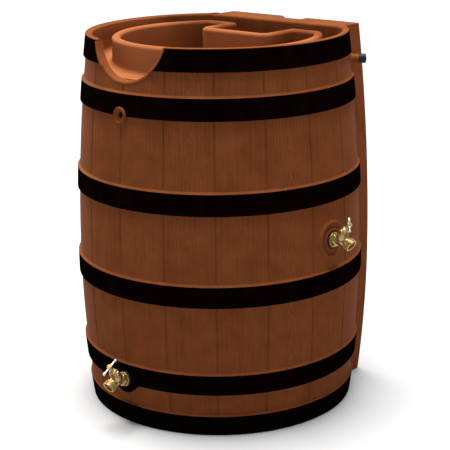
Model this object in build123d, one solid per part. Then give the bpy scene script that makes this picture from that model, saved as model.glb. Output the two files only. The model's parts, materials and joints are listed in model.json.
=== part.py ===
from build123d import *
import math
import os

# Barrel-shaped rain butt with a flat back, a planter in its top and two brass hose spigots.
# Millimetres. Origin on the barrel's axis at the floor, +Z up. The front (spill notch and
# lower spigot) is at -Y, the side spigot at +X and the flat back at +Y.

# ---- Overall form ------------------------------------------------------------------------
height = 804.0            # floor to the top of the rim
belly_radius = 312.0      # hoop face at the widest height
belly_z = 309.0
top_radius = 278.7        # hoop face at the top hoop's upper edge
base_radius = 290.8       # hoop face at the floor
back_y = 264.0            # plane of the flat back
slab_inset = 96.6         # hoop radius less the flat back's half width
slab_edge_round = 7.0
slab_chamfer = 4.0
wall = 5.0                # moulded wall

# ---- Hoops and staves --------------------------------------------------------------------
hoop_height = 44.0
hoop_end_gap = 50.0       # between the two top hoops and between the two bottom hoops
hoop_gap_step = 2.5       # each middle gap is this much smaller than the one below it
hoop_relief = 5.0         # hoop face to stave face
hoop_bevel = 4.5          # height of the sloping ledge over each hoop
facing = 1.2              # thickness of a hoop's dark facing
facing_lift = 1.0         # bottom facing's lower edge above the floor
rim_cap = 2.0             # rim above the top hoop
stave_count = 18
groove_width = 3.2
groove_depth = 2.0

# ---- Top: rim, trough, planter ring and planter --------------------------------------------
rim_width = 13.6
rim_back_width = 64.0     # flat back's plane to the inner face of the rim's straight back wall
rim_corner = 38.0
slab_top_drop = 2.5       # flat back's top below the rim's top
ring_drop = 9.5           # planter ring's top below the rim's top
trough_width = 40.7       # between the rim and the planter ring
trough_back_width = 41.7  # the same along the straight back
ring_thickness = 19.3
ring_corner = 25.0
ring_round = 7.5
bite_half_width = 77.1    # inlet pocket, cut into the ring from the back
bite_length = 137.2       # pocket's front wall to the rim's back wall
bite_corner = 8.5
trough_depth = 54.0       # rim's top to the trough floor, at the back and sides
trough_fall = 19.0        # further fall of the trough floor to the spill notch
trough_break_y = -20.0    # the floor falls forwards of this line
planter_depth = 140.0     # ring's top to the planter's floor
notch_radius = 93.0
notch_depth = 73.0        # rim's top to the notch's lowest point
notch_lip = 3.5
scoop_half_width = 33.0
scoop_depth = 9.0
scoop_length = 21.0

# ---- Small mouldings -----------------------------------------------------------------------
overflow_rise = 1.0       # hole's centre above the lower edge of its hoop
overflow_bore_r = 6.5
overflow_ring_r = 16.5
overflow_proud = 2.5
port_angle = 135.0        # from the front, towards +X
port_drop = 16.0          # stub's axis below the trough floor
port_stub_r = 10.0
port_stub_length = 21.0
port_nose_r = 8.5
port_nose_length = 13.5
port_bore_r = 5.0
cap_wall = 2.2
cap_end = 2.0
fit_clearance = 0.05      # radial, running fits
gap = 0.3                 # radial, loose fits

# ---- Inlet screen --------------------------------------------------------------------------
inlet_hole_r = 47.5
screen_lap = 12.5         # flange beyond the inlet hole
screen_flange = 3.0
screen_wall = 2.2
screen_depth = 12.0
screen_sheet = 0.8
screen_hole_r = 2.6
screen_hole_pitch = 8.2
screen_ledge = 4.4        # shelf under the sheet
screen_seam = 0.5         # how far joined solids of the frame run into each other
screen_bar_width = 8.0
screen_bar_height = 12.0

# ---- Spigots -------------------------------------------------------------------------------
lower_spigot_rise = 11.0  # axis above the lower edge of the hoop it goes through
side_spigot_rise = 66.5   # axis above the belly hoop
pad_proud = 3.0           # spigot pad's face beyond the wall's nominal face
pad_thickness = 15.5
lobe_r = 31.0
lobe_blend_r = 20.0
lobe_disc = 6.0
dish_ring_gap = 15.5      # between the centres of the dish's two rings
dish_ring_section = 3.5
dish_inner_gap = 4.0      # gasket's edge to the inner ring's centre
dish_inner_section = 2.6
dish_margin = 2.0         # solid boss beyond the inner ring, behind the side spigot
shank_r = 13.3            # nominal of the pipe thread
shank_length = 30.0
gasket_width = 3.2        # gasket beyond the shank
gasket_thickness = 3.0
flange_width = 2.2        # flange beyond the shank
flange_thickness = 2.5
hex_flats = 25.0
hex_length = 6.5
lock_nut_flats = 38.0
lock_nut_thickness = 7.5
inlet_barrel_r = 9.5
globe_r = 12.5
globe_out = 24.0          # globe's centre, out from the pad and up from the inlet's axis
globe_up = 9.0
stem_tilt = 32.0          # stem's axis from the vertical, leaning outwards
outlet_fall = 30.0        # outlet's axis below the horizontal
outlet_neck_r = 9.5
outlet_r = 13.45          # nominal of the hose thread
outlet_start = 17.0
outlet_length = 12.0
outlet_bore_r = 7.0
mouth_bore_r = 10.5
mouth_bore_depth = 5.0
inlet_bore_r = 8.0
inlet_throat_r = 5.0
throat_stop = 3.5         # the inlet's throat ends this far before the globe's centre
seat_level = -4.5         # along the stem's axis, from the globe's centre
orifice_r = 4.0
orifice_length = 6.0
chamber_r = 8.1
neck_r = 10.3
neck_top = 13.0
bonnet_plug_r = 8.0
bonnet_bottom = 6.0
bonnet_flats = 18.5
bonnet_hex = 4.0
gland_thread_r = 6.4
gland_length = 4.2
packing_seat_r = 5.2
stem_thread_r = 5.0
stem_thread_bottom = 4.0
stem_thread_length = 8.0
stem_r = 3.5
stem_foot_r = 6.8
stem_foot_bottom = -1.2
stem_foot = 2.2
stem_travel = 3.0
bar_seat = 0.4            # stem's tip to the bar over it
stem_tip_r = 2.8
hub_r = 5.6
hub_room = 4.5            # hub above the packing nut
hub_length = 10.0
hub_dome = 1.4
bar_rise = 5.7            # bar's axis above the hub's foot
bar_r = 2.3
bar_length = 45.0
bar_knob_r = 3.1
nut_flats = 15.0
nut_roof = 2.8
nut_corner = 0.9          # packing nut's corners are turned down to this beyond its flats
washer_r = 6.4
washer_thickness = 3.0
washer_gap = 0.15
washer_screw_r = 1.8
washer_head_r = 3.2
washer_head = 1.8
washer_screw_grip = 6.0   # how far the screw enters the stem's foot
set_screw_r = 1.5
set_screw_rise = 0.5      # hub's foot to the set screw
side_handle_turn = -47.0  # where the side spigot's bar stands, about its stem

# ---- Values worked out from the sizes above --------------------------------------------------
hoop_top_z = height - rim_cap
middle_gap = (hoop_top_z - 6 * hoop_height - 2 * hoop_end_gap) / 3
gaps = [hoop_end_gap, middle_gap + hoop_gap_step, middle_gap, middle_gap - hoop_gap_step, hoop_end_gap]
hoop_bottoms = [0.0]
for hoop_gap in gaps:
    hoop_bottoms.append(hoop_bottoms[-1] + hoop_height + hoop_gap)
hoop_names = ["base_hoop", "spigot_hoop", "belly_hoop", "shoulder_hoop", "overflow_hoop", "rim_hoop"]
top_taper = belly_radius - top_radius
base_taper = belly_radius - base_radius
upper_arc_r = ((hoop_top_z - belly_z) ** 2 + top_taper**2) / (2 * top_taper)
lower_arc_r = (belly_z**2 + base_taper**2) / (2 * base_taper)
ring_top_z = height - ring_drop
slab_top_z = height - slab_top_drop
floor_z = height - trough_depth
port_z = floor_z - port_drop
overflow_z = hoop_bottoms[4] + overflow_rise
lower_spigot_z = hoop_bottoms[1] + lower_spigot_rise
side_spigot_z = hoop_bottoms[2] + hoop_height + side_spigot_rise
front_floor_z = floor_z - trough_fall
planter_floor_z = ring_top_z - planter_depth
notch_z = height - notch_depth + notch_radius
reach = 2 * belly_radius
screen_flange_r = inlet_hole_r + screen_lap
gasket_r = shank_r + gasket_width
dish_inner_ring_r = gasket_r + dish_inner_gap
dish_ring_r = dish_inner_ring_r + dish_ring_gap
flange_r = shank_r + flange_width
inlet_throat_end = globe_out - throat_stop
gland_bottom = neck_top + bonnet_hex
gland_top = gland_bottom + gland_length
nut_bottom = gland_bottom + gap
nut_top = gland_top + nut_roof
hub_bottom = nut_top + hub_room
bar_level = hub_bottom + bar_rise
stem_top = bar_level - bar_r - bar_seat


def hoop_radius(z):
    """Hoop face radius at a height: two arcs that meet upright at the belly."""
    arc_r = upper_arc_r if z > belly_z else lower_arc_r
    return belly_radius - arc_r + math.sqrt(arc_r**2 - (z - belly_z) ** 2)


rim_inner_r = top_radius - rim_cap / 2 - rim_width
rim_back_y = back_y - rim_back_width
ring_radius = rim_inner_r - trough_width
ring_back_y = rim_back_y - trough_back_width
bite_front_y = rim_back_y - bite_length
lower_pad_y = -(hoop_radius(lower_spigot_z) + pad_proud)
side_pad_x = hoop_radius(side_spigot_z) - hoop_relief + pad_proud
port_wall_r = hoop_radius(port_z) - hoop_relief


def profile_curve(move, z0, z1, side=1):
    """Edges of the barrel's profile, moved out by move, from z0 up to z1."""
    stops = [z0, belly_z, z1] if z0 < belly_z < z1 else [z0, z1]
    edges = []
    for low, high in zip(stops, stops[1:]):
        middle = (low + high) / 2
        points = [(side * (hoop_radius(z) + move), 0, z) for z in (low, middle, high)]
        edges.append(ThreePointArc(*points))
    return edges


def profile_face(inner, outer, z0, z1):
    """Radial face between two offsets of the profile; inner None reaches the axis."""
    out_edges = profile_curve(outer, z0, z1)
    low, high = hoop_radius(z0) + outer, hoop_radius(z1) + outer
    if inner is None:
        loop = [Line((high, 0, z1), (0, 0, z1)), Line((0, 0, z1), (0, 0, z0)), Line((0, 0, z0), (low, 0, z0))]
    else:
        in_low, in_high = hoop_radius(z0) + inner, hoop_radius(z1) + inner
        loop = [Line((high, 0, z1), (in_high, 0, z1)), *profile_curve(inner, z0, z1)]
        loop.append(Line((in_low, 0, z0), (low, 0, z0)))
    return make_face(Wire(out_edges + loop))


def barrel_solid(inner, outer, z0, z1):
    return revolve(profile_face(inner, outer, z0, z1), Axis.Z)


def slab_prism(inset, z0, z1, y0, y1):
    """The flat back's block between two heights, its sides following the barrel's curve."""
    sides = profile_curve(-slab_inset - inset, z0, z1) + profile_curve(-slab_inset - inset, z0, z1, -1)
    low = hoop_radius(z0) - slab_inset - inset
    high = hoop_radius(z1) - slab_inset - inset
    ends = [Line((high, 0, z1), (-high, 0, z1)), Line((-low, 0, z0), (low, 0, z0))]
    face = make_face(Wire(sides + ends))
    return Pos(0, y0, 0) * extrude(face, amount=y1 - y0, dir=(0, 1, 0))


def upright_prism(sketch, z0, z1):
    return Pos(0, 0, z0) * extrude(sketch, amount=z1 - z0)


def below_y(limit):
    return Pos(0, limit - reach, 0) * Rectangle(4 * reach, 2 * reach)


def radial_rod(radius, y_from, y_to, x=0.0, z=0.0):
    """A cylinder along Y between two planes."""
    length = abs(y_to - y_from)
    return Pos(x, (y_from + y_to) / 2, z) * Rot(90, 0, 0) * Cylinder(radius, length)


# ---- Outlines of the top ---------------------------------------------------------------------
def corners(sketch, y, radius, tolerance=0.1):
    chosen = [v for v in sketch.vertices() if abs(v.Y - y) < tolerance]
    return fillet(chosen, radius)


def rim_outline():
    return corners(Circle(rim_inner_r) & below_y(rim_back_y), rim_back_y, rim_corner)


def ring_outline():
    outline = corners(Circle(ring_radius) & below_y(ring_back_y), ring_back_y, ring_corner)
    bite = Pos(0, bite_front_y + reach / 2) * Rectangle(2 * bite_half_width, reach)
    outline = outline - bite
    sharp = [v for v in outline.vertices() if abs(abs(v.X) - bite_half_width) < 0.1]
    return fillet(sharp, bite_corner)


def inset(sketch, amount):
    return offset(sketch, -amount)


def trough_space(lift):
    """Everything above the trough's floor moved up by lift, in the YZ plane, swept along X."""
    points = [(0, -reach, front_floor_z + lift), (0, -top_radius, front_floor_z + lift)]
    points += [(0, trough_break_y, floor_z + lift), (0, reach, floor_z + lift)]
    points += [(0, reach, 2 * height), (0, -reach, 2 * height)]
    face = make_face(Polyline(*points, close=True))
    return Pos(-reach, 0, 0) * extrude(face, amount=2 * reach, dir=(1, 0, 0))


# ---- Shell -----------------------------------------------------------------------------------
def stave_grooves():
    """V cuts along the barrel's profile between staves, clear of the flat back."""
    stave_face = belly_radius - hoop_relief
    beyond = 1.0
    spread = groove_width / 2 * (groove_depth + beyond) / groove_depth
    outside = stave_face + beyond
    vee = Polyline((stave_face - groove_depth, 0), (outside, -spread), (outside, spread), close=True)
    section = Pos(0, 0, belly_z) * make_face(vee)
    upper_axis = Axis((belly_radius - upper_arc_r, 0, belly_z), (0, -1, 0))
    lower_axis = Axis((belly_radius - lower_arc_r, 0, belly_z), (0, 1, 0))
    upper_sweep = math.degrees(math.asin((hoop_top_z - belly_z) / upper_arc_r)) + 1
    lower_sweep = math.degrees(math.asin(belly_z / lower_arc_r)) + 1
    blade = revolve(section, upper_axis, upper_sweep) + revolve(section, lower_axis, lower_sweep)
    pitch = 360 / stave_count
    junction = 180 - math.degrees(math.asin((belly_radius - slab_inset) / belly_radius))
    count = int(junction / pitch)
    return [Rot(0, 0, pitch * k - 90) * blade for k in range(-count, count + 1)]


def hoop_rib(bottom):
    """A moulded rib: rebated for its facing, with a sloping ledge on top."""
    top = bottom + hoop_height
    core = barrel_solid(-2 * hoop_relief, -facing, bottom, top)
    if top > hoop_top_z - 1:
        return core
    ledge_low, ledge_high = hoop_radius(top), hoop_radius(top + hoop_bevel) - hoop_relief
    points = [(ledge_low, 0, top), (ledge_high, 0, top + hoop_bevel)]
    points += [(ledge_high - hoop_relief, 0, top + hoop_bevel), (ledge_low - 2 * hoop_relief, 0, top)]
    ledge = revolve(make_face(Polyline(*points, close=True)), Axis.Z)
    return core + ledge


def rim_lip():
    """Rounded top edge of the rim, over the top hoop."""
    high = top_radius - rim_cap
    points = [(high - rim_width, 0, height), (high, 0, height)]
    half_way = rim_cap * math.sqrt(0.5)
    arc = ThreePointArc(points[1], (high + half_way, 0, hoop_top_z + half_way), (top_radius, 0, hoop_top_z))
    floor = [Line((top_radius, 0, hoop_top_z), (high - rim_width, 0, hoop_top_z))]
    side = [Line((high - rim_width, 0, hoop_top_z), points[0]), Line(*points)]
    return revolve(make_face(Wire([arc] + floor + side)), Axis.Z)


def slab():
    """The flat back's block, its upright edges rounded and its top edges chamfered."""
    block = slab_prism(0, 0, slab_top_z, 0, back_y)
    upright = [e for e in block.edges() if abs(e.center().Y - back_y) < 0.1 and e.length > height / 4]
    block = fillet(upright, slab_edge_round)
    half = hoop_radius(slab_top_z) - slab_inset
    beyond = 3 * slab_chamfer
    wedge = Polyline((-slab_chamfer, 0), (beyond, 0), (beyond, -beyond - slab_chamfer), close=True)
    side = extrude(Plane.XZ * make_face(wedge), amount=-reach)
    block -= Pos(half, 0, slab_top_z) * side
    block -= Pos(-half, 0, slab_top_z) * mirror(side, Plane.YZ)
    return block - Pos(reach, back_y, slab_top_z) * Rot(0, 0, 90) * side


def lobe_outline():
    """The lower spigot's pad, seen from the front: a disc blended into its hoop's lower edge."""
    low = hoop_bottoms[1]
    band = Pos(0, low + hoop_height / 2) * Rectangle(4 * lobe_r, hoop_height)
    outline = band + Pos(0, lower_spigot_z) * Circle(lobe_r)
    sharp = [v for v in outline.vertices() if abs(v.Y - low) < 0.1 and abs(v.X) < 1.5 * lobe_r]
    return fillet(sharp, lobe_blend_r)


def lobe_zone(inner, outer):
    """The part of a skin between two profile offsets that lies inside the lobe's outline."""
    low = lower_spigot_z - lobe_r - 1
    skin = barrel_solid(inner, outer, low, hoop_bottoms[1] + hoop_height)
    return skin & extrude(Plane.XZ * lobe_outline(), amount=reach)


def lobe_seat_y():
    return lower_pad_y + lobe_disc


def tank_cavity():
    """The water space: under the trough and planter, inside the ring's wall and the flat back."""
    main = barrel_solid(None, -hoop_relief - wall, wall, floor_z)
    back = slab_prism(wall, wall, slab_top_z - wall, 0, back_y - wall)
    flat = Pos(0, back_y - wall - reach, height / 2) * Box(4 * reach, 2 * reach, 2 * height)
    cavity = (main & flat) + back
    cavity -= trough_space(-wall) & upright_prism(offset(rim_outline(), wall), wall, height)
    cavity += upright_prism(inset(ring_outline(), wall), front_floor_z - 2 * wall, ring_top_z - wall)
    bowl = inset(ring_outline(), ring_thickness)
    return cavity - upright_prism(offset(bowl, wall), planter_floor_z - wall, height)


def dish():
    """Two moulded rings round the side spigot, on a low pad."""
    pad = Pos(-hoop_relief / 2, 0, 0) * Rot(0, 90, 0) * Cylinder(dish_inner_ring_r, hoop_relief)
    outer = Pos(-dish_ring_section, 0, 0) * Rot(0, 90, 0) * Torus(dish_ring_r, dish_ring_section)
    inner = Rot(0, 90, 0) * Torus(dish_inner_ring_r, dish_inner_section)
    return Pos(side_pad_x, 0, side_spigot_z) * (pad + outer + inner)


def nut_room(pad_y, z):
    """Room behind a spigot's pad for its gasket and lock nut, and for turning the nut."""
    back = pad_y + pad_thickness
    return radial_rod(lock_nut_flats / math.sqrt(3) + gap, back, back + 2 * shank_length, z=z)


def port_location():
    return Pos(0, 0, port_z) * Rot(0, 0, port_angle - 90) * Rot(0, 90, 0)


def port_stub():
    start = port_wall_r - hoop_relief
    end = port_wall_r + port_stub_length
    stub = Pos(0, 0, (start + end) / 2) * Cylinder(port_stub_r, end - start)
    nose = Pos(0, 0, end + port_nose_length / 2) * Cylinder(port_nose_r, port_nose_length)
    return port_location() * (stub + nose)


def port_bore():
    end = port_wall_r + port_stub_length + port_nose_length
    return port_location() * Pos(0, 0, end) * Cylinder(port_bore_r, 2 * (end - port_wall_r + 2 * hoop_relief))


def spill_notch(radius, y_inner):
    return radial_rod(radius, -reach, y_inner, z=notch_z)


def back_scoop():
    radius = (scoop_half_width**2 + scoop_depth**2) / (2 * scoop_depth)
    return radial_rod(radius, back_y - scoop_length, back_y + 1, z=slab_top_z + radius - scoop_depth)


def moulding_body():
    body = barrel_solid(None, -hoop_relief, 0, hoop_top_z)
    for blade in stave_grooves():
        body -= blade
    for bottom in hoop_bottoms:
        body += hoop_rib(bottom)
    body += lobe_zone(-2 * hoop_relief, -facing)
    body += rim_lip()
    body = body & (Pos(0, back_y - reach, height / 2) * Box(4 * reach, 2 * reach, 2 * height))
    body += slab()
    lip = spill_notch(notch_radius + notch_lip, 0)
    body += barrel_solid(-2 * hoop_relief, 0, hoop_bottoms[5], hoop_top_z) & lip
    face_y = -(hoop_radius(overflow_z) + overflow_proud)
    body += radial_rod(overflow_ring_r, face_y, face_y + 3 * hoop_relief, z=overflow_z)
    body -= radial_rod(lobe_r, -reach, lobe_seat_y(), z=lower_spigot_z)
    body += dish() + port_stub()
    body -= tank_cavity()
    body -= nut_room(lower_pad_y, lower_spigot_z)
    body += radial_rod(lobe_r, lobe_seat_y(), lower_pad_y + pad_thickness, z=lower_spigot_z)
    boss_r = dish_inner_ring_r + dish_margin
    side_pad = Rot(0, 0, 90) * radial_rod(boss_r, -side_pad_x + pad_proud / 3, -side_pad_x + pad_thickness)
    body -= Rot(0, 0, 90) * nut_room(-side_pad_x, side_spigot_z)
    body += Pos(0, 0, side_spigot_z) * side_pad
    body -= upright_prism(rim_outline(), planter_floor_z, 2 * height) & trough_space(0)
    body += planter_ring()
    body -= upright_prism(inset(ring_outline(), ring_thickness), planter_floor_z, floor_z + 1)
    body -= spill_notch(notch_radius, -ring_radius - 5)
    body -= back_scoop()
    body -= Pos(0, inlet_centre_y(), floor_z) * Cylinder(inlet_hole_r, 6 * wall)
    body -= radial_rod(overflow_bore_r, -reach, -belly_radius / 2, z=overflow_z)
    body -= port_bore()
    body -= radial_rod(shank_r + gap, -reach, -belly_radius / 2, z=lower_spigot_z)
    side_hole = Rot(0, 0, 90) * radial_rod(shank_r + gap, -reach, -belly_radius / 2)
    return body - Pos(0, 0, side_spigot_z) * side_hole


def moulding_parts():
    """The one-piece moulding, parted where its simple shapes meet: outer shell, trough, planter."""
    moulding = moulding_body()
    below = planter_floor_z - 2 * wall
    inside_rim = upright_prism(rim_outline(), below, 2 * height)
    planter = upright_prism(ring_outline(), below, 2 * height)
    top = moulding & inside_rim
    pieces = {"barrel_shell": moulding - inside_rim}
    pieces["trough_floor"] = top - planter
    pieces["planter_bowl"] = top & planter
    return pieces


def planter_ring():
    outline = ring_outline() - inset(ring_outline(), ring_thickness)
    ring = upright_prism(outline, front_floor_z - wall, ring_top_z)
    ring = fillet(ring.faces().sort_by(Axis.Z)[-1].edges(), ring_round)
    hollow = inset(ring_outline(), wall) - offset(inset(ring_outline(), ring_thickness), wall)
    return ring - upright_prism(hollow, front_floor_z - 2 * wall, ring_top_z - wall)


def inlet_centre_y():
    return (bite_front_y + rim_back_y) / 2


# ---- Hoop facings --------------------------------------------------------------------------
def hoop_facing(index):
    bottom = max(hoop_bottoms[index], facing_lift)
    top = hoop_bottoms[index] + hoop_height
    skin = barrel_solid(-facing, 0, bottom, top)
    if index == 1:
        skin += lobe_zone(-facing, 0)
        skin -= radial_rod(lobe_r, -reach, 0, z=lower_spigot_z)
        skin += radial_rod(lobe_r, lower_pad_y, lobe_seat_y(), z=lower_spigot_z)
        skin -= radial_rod(shank_r + gap, -reach, 0, z=lower_spigot_z)
    if index == 4:
        skin -= radial_rod(overflow_ring_r, -reach, 0, z=overflow_z)
    if index == 5:
        skin -= spill_notch(notch_radius + notch_lip, 0)
    return skin - slab_prism(0, bottom, top, 0, reach)


# ---- Port cap and inlet screen ---------------------------------------------------------------
def port_cap():
    length = port_nose_length + cap_end
    outer = port_nose_r + fit_clearance + cap_wall
    cup = Pos(0, 0, length / 2) * Cylinder(outer, length)
    cup = fillet(cup.edges().sort_by(Axis.Z)[-1], 1.5)
    depth = port_nose_length + gap
    cup -= Pos(0, 0, depth / 2) * Cylinder(port_nose_r + fit_clearance, depth)
    return port_location() * Pos(0, 0, port_wall_r + port_stub_length + gap) * cup


def screen_frame():
    """Drop-in frame: a flange on the pocket's floor, a short basket wall and a lifting bar."""
    base = floor_z + fit_clearance
    collar_r = inlet_hole_r - gap
    frame = Pos(0, 0, screen_flange / 2) * Cylinder(screen_flange_r, screen_flange)
    frame = fillet(frame.edges().sort_by(Axis.Z)[-1], 1.2)
    frame += Pos(0, 0, -screen_depth / 2) * Cylinder(collar_r, screen_depth)
    space = screen_depth + screen_flange
    frame -= Pos(0, 0, screen_flange - space / 2) * Cylinder(collar_r - screen_wall, space)
    inner_r = collar_r - screen_wall
    ledge = Cylinder(inner_r + screen_seam, screen_wall) - Cylinder(inner_r - screen_ledge, screen_wall)
    frame += Pos(0, 0, -screen_depth + screen_wall / 2) * ledge
    post = Pos(0, 0, screen_bar_height / 2) * Box(screen_wall, screen_bar_width, screen_bar_height)
    post_x = (screen_flange_r + collar_r) / 2
    posts = Pos(-post_x, 0, 0) * post + Pos(post_x, 0, 0) * post
    bar = Pos(0, 0, screen_bar_height) * Box(2 * post_x + screen_wall, screen_bar_width, screen_wall)
    return Pos(0, inlet_centre_y(), base) * (frame + posts + bar)


def screen_sheet_disc():
    radius = inlet_hole_r - gap - screen_wall - fit_clearance
    sheet = Cylinder(radius, screen_sheet)
    rows = int(radius / screen_hole_pitch)
    spots = []
    for row in range(-rows, rows + 1):
        for column in range(-rows - 1, rows + 2):
            x = (column + 0.5 * (row % 2)) * screen_hole_pitch
            y = row * screen_hole_pitch * math.sqrt(3) / 2
            if math.hypot(x, y) < radius - screen_ledge - screen_hole_r:
                spots.append(Pos(x, y, 0))
    holes = [spot * Cylinder(screen_hole_r, 2 * screen_sheet) for spot in spots]
    sheet = sheet - holes
    level = floor_z + fit_clearance - screen_depth + screen_wall + screen_sheet / 2
    return Pos(0, inlet_centre_y(), level) * sheet


# ---- Spigot, in its own frame ------------------------------------------------------------------
# Origin at the centre of its pad's face; outwards is -Y and up is +Z. "Along the stem" and
# "along the outlet" are frames with +Z on that axis and their origin in the globe's centre.
def stem_frame():
    return Pos(0, -globe_out, globe_up) * Rot(stem_tilt, 0, 0)


def outlet_frame():
    return Pos(0, -globe_out, globe_up) * Rot(90 + outlet_fall, 0, 0)


def rod(radius, low, high):
    return Pos(0, 0, (low + high) / 2) * Cylinder(radius, high - low)


def inlet_rod(radius, out_from, out_to):
    return radial_rod(radius, -out_from, -out_to)


def hexagon(flats, low, high):
    return Pos(0, 0, low) * extrude(RegularPolygon(flats / 2, 6, major_radius=False), amount=high - low)


def spigot_body():
    hex_start = gasket_thickness + flange_thickness
    hex_end = hex_start + hex_length
    body = inlet_rod(shank_r, -shank_length, gasket_thickness)
    flange = inlet_rod(flange_r, gasket_thickness, hex_start)
    body += fillet(flange.edges().group_by(Axis.Y)[0], 0.8)
    body += Rot(90, 0, 0) * hexagon(hex_flats, hex_start, hex_end)
    body += inlet_rod(inlet_barrel_r, hex_end, globe_out)
    body += Pos(0, -globe_out, globe_up) * Sphere(globe_r)
    body += Pos(0, -globe_out, 0) * Sphere(inlet_barrel_r)
    body += stem_frame() * rod(neck_r, 0, neck_top)
    body += outlet_frame() * rod(outlet_neck_r, 0, outlet_start + 1)
    mouth = rod(outlet_r, outlet_start, outlet_start + outlet_length)
    body += outlet_frame() * fillet(mouth.edges().group_by(Axis.Z)[0], 1.5)
    body -= inlet_rod(inlet_bore_r, -shank_length - 1, hex_end)
    body -= inlet_rod(inlet_throat_r, 0, inlet_throat_end)
    body -= stem_frame() * rod(chamber_r, seat_level, neck_top + 1)
    body -= stem_frame() * rod(orifice_r, seat_level - orifice_length, seat_level + 1)
    end = outlet_start + outlet_length
    body -= outlet_frame() * rod(outlet_bore_r, 4, end + 1)
    return body - outlet_frame() * rod(mouth_bore_r, end - mouth_bore_depth, end + 1)


def ring_gasket(low):
    high = low + gasket_thickness
    return inlet_rod(gasket_r, low, high) - inlet_rod(shank_r, low - 1, high + 1)


def lock_nut():
    high = -pad_thickness - gasket_thickness
    nut = Rot(90, 0, 0) * hexagon(lock_nut_flats, high - lock_nut_thickness, high)
    return nut - inlet_rod(shank_r, high - lock_nut_thickness - 1, high + 1)


def bonnet():
    piece = rod(bonnet_plug_r, bonnet_bottom, neck_top) + hexagon(bonnet_flats, neck_top, gland_bottom)
    piece += rod(gland_thread_r, gland_bottom, gland_top)
    thread_top = stem_thread_bottom + stem_thread_length + stem_travel + gap
    piece -= rod(stem_thread_r + fit_clearance, bonnet_bottom - 1, thread_top)
    piece -= rod(stem_r + gap, bonnet_bottom, gland_top + 1)
    return stem_frame() * (piece - rod(packing_seat_r, gland_bottom, gland_top + 1))


def packing():
    ring = rod(packing_seat_r, gland_bottom, gland_top)
    return stem_frame() * (ring - rod(stem_r + fit_clearance, gland_bottom - 1, gland_top + 1))


def packing_nut():
    piece = hexagon(nut_flats, nut_bottom, nut_top) & rod(nut_flats / 2 + nut_corner, nut_bottom, nut_top)
    piece -= rod(gland_thread_r, nut_bottom - 1, gland_top)
    return stem_frame() * (piece - rod(stem_r + gap, nut_bottom, nut_top + 1))


def stem():
    piece = rod(stem_foot_r, stem_foot_bottom, stem_foot_bottom + stem_foot) + rod(stem_r, 0, hub_bottom)
    piece += rod(stem_thread_r, stem_thread_bottom, stem_thread_bottom + stem_thread_length)
    piece += rod(stem_tip_r, hub_bottom, stem_top)
    screw_room = rod(washer_screw_r, stem_foot_bottom - 1, stem_foot_bottom + washer_screw_grip)
    return stem_frame() * (piece - screw_room)


def seat_washer():
    low = seat_level + washer_gap
    ring = rod(washer_r, low, low + washer_thickness)
    return stem_frame() * (ring - rod(washer_screw_r + gap, low - 1, low + washer_thickness + 1))


def washer_screw():
    under = seat_level + washer_gap - gap
    screw = rod(washer_head_r, under - washer_head, under)
    return stem_frame() * (screw + rod(washer_screw_r, under, stem_foot_bottom + washer_screw_grip))


def handle_hub():
    top = hub_bottom + hub_length
    hub = rod(hub_r, hub_bottom, top)
    hub = fillet(hub.edges().group_by(Axis.Z)[-1], hub_dome)
    hub -= rod(stem_tip_r, hub_bottom - 1, stem_top)
    hub -= Pos(0, 0, bar_level) * Rot(90, 0, 0) * Cylinder(bar_r, 4 * hub_r)
    set_hole = Pos(hub_r / 2, 0, set_screw_level()) * Rot(0, 90, 0)
    return stem_frame() * (hub - set_hole * Cylinder(set_screw_r, hub_r))


def set_screw_level():
    return hub_bottom + set_screw_r + set_screw_rise


def set_screw():
    length = hub_r - stem_tip_r
    place = Pos(stem_tip_r + length / 2, 0, set_screw_level()) * Rot(0, 90, 0)
    return stem_frame() * (place * Cylinder(set_screw_r, length))


def handle_bar():
    knob_at = bar_length / 2 - bar_knob_r
    bar = Rot(90, 0, 0) * Cylinder(bar_r, 2 * knob_at)
    bar += Pos(0, knob_at, 0) * Sphere(bar_knob_r)
    bar += Pos(0, -knob_at, 0) * Sphere(bar_knob_r)
    return stem_frame() * Pos(0, 0, bar_level) * bar


fixed_pieces = {
    "body": spigot_body,
    "outer_gasket": lambda: ring_gasket(0.0),
    "inner_gasket": lambda: ring_gasket(-pad_thickness - gasket_thickness),
    "lock_nut": lock_nut,
    "bonnet": bonnet,
    "packing": packing,
    "packing_nut": packing_nut,
    "seat_washer": seat_washer,
}
turning_pieces = {
    "stem": stem,
    "washer_screw": washer_screw,
    "handle_hub": handle_hub,
    "set_screw": set_screw,
    "handle_bar": handle_bar,
}


def turned(turn):
    """Turn about the stem's axis, in the spigot's own frame."""
    return stem_frame() * Rot(0, 0, turn) * stem_frame().inverse()


def spigot(prefix, place, turn):
    parts = {prefix + name: place * make() for name, make in fixed_pieces.items()}
    for name, make in turning_pieces.items():
        parts[prefix + name] = place * turned(turn) * make()
    return parts


def main():
    os.makedirs("parts", exist_ok=True)
    parts = moulding_parts()
    for index, name in enumerate(hoop_names[:-1]):
        parts[name + "_facing"] = hoop_facing(index)
    left, right = hoop_facing(5).solids().sort_by(Axis.X)
    parts["rim_hoop_facing_left"] = left
    parts["rim_hoop_facing_right"] = right
    parts["port_cap"] = port_cap()
    parts["inlet_screen_frame"] = screen_frame()
    parts["inlet_screen_sheet"] = screen_sheet_disc()
    parts.update(spigot("lower_spigot_", Pos(0, lower_pad_y, lower_spigot_z), 0.0))
    parts.update(spigot("side_spigot_", Pos(side_pad_x, 0, side_spigot_z) * Rot(0, 0, 90), side_handle_turn))
    for name, part in parts.items():
        export_step(part, f"parts/{name}.step")


main()
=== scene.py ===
import json
import math

import bmesh
import bpy
from mathutils import Euler, Matrix, Vector
from mathutils.geometry import delaunay_2d_cdt


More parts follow.
